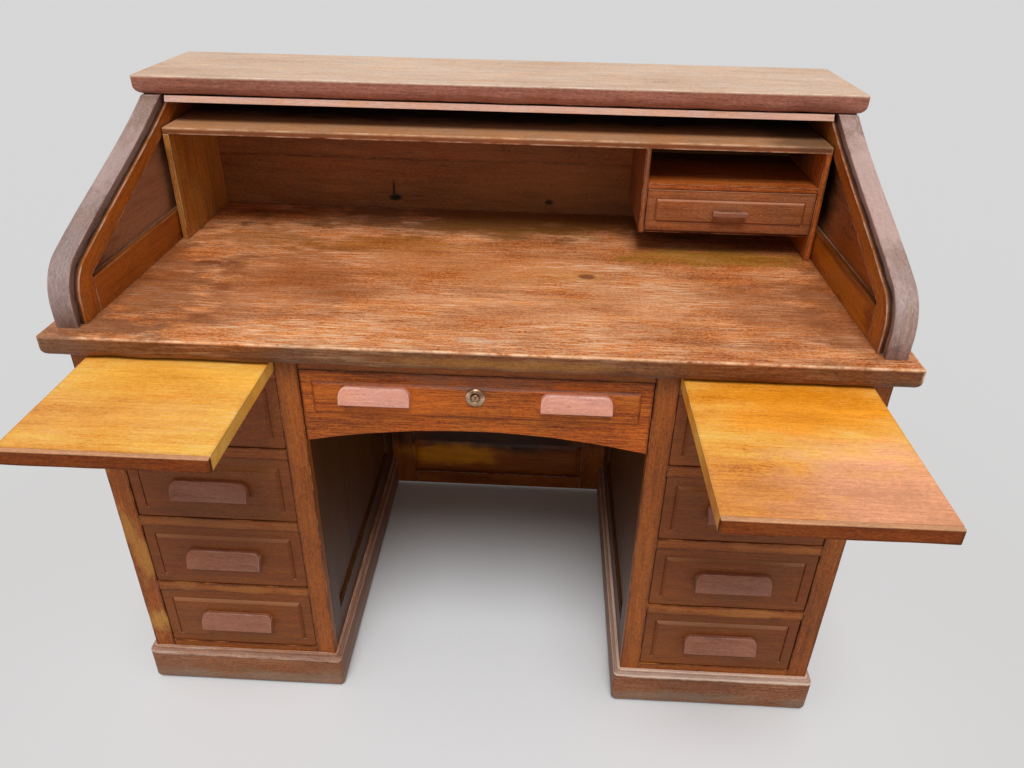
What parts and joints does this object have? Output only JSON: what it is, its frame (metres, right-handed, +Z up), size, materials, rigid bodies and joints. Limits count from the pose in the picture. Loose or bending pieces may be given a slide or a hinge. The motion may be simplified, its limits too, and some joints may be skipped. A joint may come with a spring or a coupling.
{
  "type": "roll-top desk",
  "caption": "Roll-top pedestal desk with S-shaped tambour sides, arched kneehole drawer, pull-out writing slides and pigeonholes.",
  "frame": {"origin": "on the floor, under the middle of the desk's outer box with both writing slides pulled out as at rest", "axes": "+X across the desk to the sitter's right, +Y towards the desk's back, +Z up"},
  "size_m": [1.34, 1.034, 1.093],
  "materials": {
    "desktop_oak": "stained, worn shellac",
    "deck_oak": "stained, worn shellac",
    "slide_maple": "stained, worn shellac",
    "brass": "aged and dulled",
    "pull_walnut": "stained, worn shellac",
    "drawer_front_oak": "stained, worn shellac",
    "drawer_box_poplar": "stained, worn shellac",
    "tambour_oak": "stained, worn shellac",
    "plinth_oak": "stained, worn shellac",
    "roll_side_oak": "stained, worn shellac",
    "pigeonhole_oak": "stained, worn shellac",
    "runner_poplar": "stained, worn shellac",
    "inner_oak": "stained, worn shellac",
    "case_oak": "stained, worn shellac"
  },
  "bodies": {
    "case": {"center_drawer_runners": "runner_poplar", "desktop": "desktop_oak", "kneehole_rail": "case_oak", "left_pedestal_back": "case_oak", "left_pedestal_face_frame": "case_oak", "left_pedestal_knee_side": "case_oak", "left_pedestal_outer_side": "case_oak", "left_pedestal_plinth": "plinth_oak", "left_pedestal_runners": "runner_poplar", "left_pigeonhole_side": "inner_oak", "left_roll_panel": "inner_oak", "left_roll_side": "roll_side_oak", "modesty_panel": "inner_oak", "pigeonhole_back": "pigeonhole_oak", "pigeonhole_divider": "pigeonhole_oak", "pigeonhole_floor": "pigeonhole_oak", "pigeonhole_shelf": "pigeonhole_oak", "pigeonhole_top": "pigeonhole_oak", "right_pedestal_back": "case_oak", "right_pedestal_face_frame": "case_oak", "right_pedestal_knee_side": "case_oak", "right_pedestal_outer_side": "case_oak", "right_pedestal_plinth": "plinth_oak", "right_pedestal_runners": "runner_poplar", "right_pigeonhole_side": "inner_oak", "right_roll_panel": "inner_oak", "right_roll_side": "roll_side_oak", "tambour_parked_slats": "tambour_oak", "top_deck": "deck_oak", "upper_back_panel": "case_oak"},
    "left_drawer_1": {"left_drawer_1_front": "drawer_front_oak", "left_drawer_1_box": "drawer_box_poplar"},
    "left_drawer_2": {"left_drawer_2_front": "drawer_front_oak", "left_drawer_2_box": "drawer_box_poplar"},
    "left_drawer_3": {"left_drawer_3_front": "drawer_front_oak", "left_drawer_3_box": "drawer_box_poplar"},
    "left_drawer_4": {"left_drawer_4_front": "drawer_front_oak", "left_drawer_4_box": "drawer_box_poplar"},
    "right_drawer_1": {"right_drawer_1_front": "drawer_front_oak", "right_drawer_1_box": "drawer_box_poplar"},
    "right_drawer_2": {"right_drawer_2_front": "drawer_front_oak", "right_drawer_2_box": "drawer_box_poplar"},
    "right_drawer_3": {"right_drawer_3_front": "drawer_front_oak", "right_drawer_3_box": "drawer_box_poplar"},
    "right_drawer_4": {"right_drawer_4_front": "drawer_front_oak", "right_drawer_4_box": "drawer_box_poplar"},
    "center_drawer": {"center_drawer_front": "drawer_front_oak", "center_drawer_pulls": "pull_walnut", "center_drawer_box": "drawer_box_poplar", "lock_housing": "brass"},
    "lock_plug": {"lock_plug": "brass"},
    "lock_bolt": {"lock_bolt": "brass"},
    "left_writing_slide": {"left_writing_slide": "slide_maple"},
    "right_writing_slide": {"right_writing_slide": "slide_maple"},
    "small_drawer": {"small_drawer_front": "drawer_front_oak", "small_drawer_box": "drawer_box_poplar", "small_drawer_handle": "pull_walnut"},
    "tambour_bead": {"tambour_bead": "tambour_oak"},
    "tambour_curtain": {"tambour_lead_rail": "tambour_oak", "tambour_slats": "tambour_oak"}
  },
  "joints": [
    {"name": "left_drawer_1_slide", "type": "slide", "parent": "case", "child": "left_drawer_1", "axis": [0, -1, 0], "range_m": [0, 0.42]},
    {"name": "left_drawer_2_slide", "type": "slide", "parent": "case", "child": "left_drawer_2", "axis": [0, -1, 0], "range_m": [0, 0.42]},
    {"name": "left_drawer_3_slide", "type": "slide", "parent": "case", "child": "left_drawer_3", "axis": [0, -1, 0], "range_m": [0, 0.42]},
    {"name": "left_drawer_4_slide", "type": "slide", "parent": "case", "child": "left_drawer_4", "axis": [0, -1, 0], "range_m": [0, 0.42]},
    {"name": "right_drawer_1_slide", "type": "slide", "parent": "case", "child": "right_drawer_1", "axis": [0, -1, 0], "range_m": [0, 0.42]},
    {"name": "right_drawer_2_slide", "type": "slide", "parent": "case", "child": "right_drawer_2", "axis": [0, -1, 0], "range_m": [0, 0.42]},
    {"name": "right_drawer_3_slide", "type": "slide", "parent": "case", "child": "right_drawer_3", "axis": [0, -1, 0], "range_m": [0, 0.42]},
    {"name": "right_drawer_4_slide", "type": "slide", "parent": "case", "child": "right_drawer_4", "axis": [0, -1, 0], "range_m": [0, 0.42]},
    {"name": "center_drawer_slide", "type": "slide", "parent": "case", "child": "center_drawer", "axis": [0, -1, 0], "range_m": [0, 0.36]},
    {"name": "lock_turn", "type": "hinge", "parent": "center_drawer", "child": "lock_plug", "pos_m": [0, -0.177, 0.7], "axis": [0, -1, 0], "range_deg": [0, 90]},
    {"name": "lock_bolt_lift", "type": "slide", "parent": "center_drawer", "child": "lock_bolt", "axis": [0, 0, 1], "range_m": [0, 0.008]},
    {"name": "left_writing_slide_pull", "type": "slide", "parent": "case", "child": "left_writing_slide", "axis": [0, -1, 0], "range_m": [-0.2675, 0.0825]},
    {"name": "right_writing_slide_pull", "type": "slide", "parent": "case", "child": "right_writing_slide", "axis": [0, -1, 0], "range_m": [-0.34, 0.01]},
    {"name": "small_drawer_slide", "type": "slide", "parent": "case", "child": "small_drawer", "axis": [0, -1, 0], "range_m": [0, 0.15]},
    {"name": "tambour_pull", "type": "slide", "parent": "case", "child": "tambour_bead", "axis": [0, -0.9239, -0.3827], "range_m": [0, 0.186]},
    {"name": "tambour_tilt", "type": "hinge", "parent": "tambour_bead", "child": "tambour_curtain", "pos_m": [0, 0.25513, 1.049], "axis": [1, 0, 0], "range_deg": [0, 22.51]}
  ],
  "couplings": [
    {"joint": "lock_bolt_lift", "follows": "lock_turn", "m_per_rad": 0.005093},
    {"joint": "tambour_tilt", "follows": "tambour_pull", "rad_per_m": 2.1113}
  ]
}
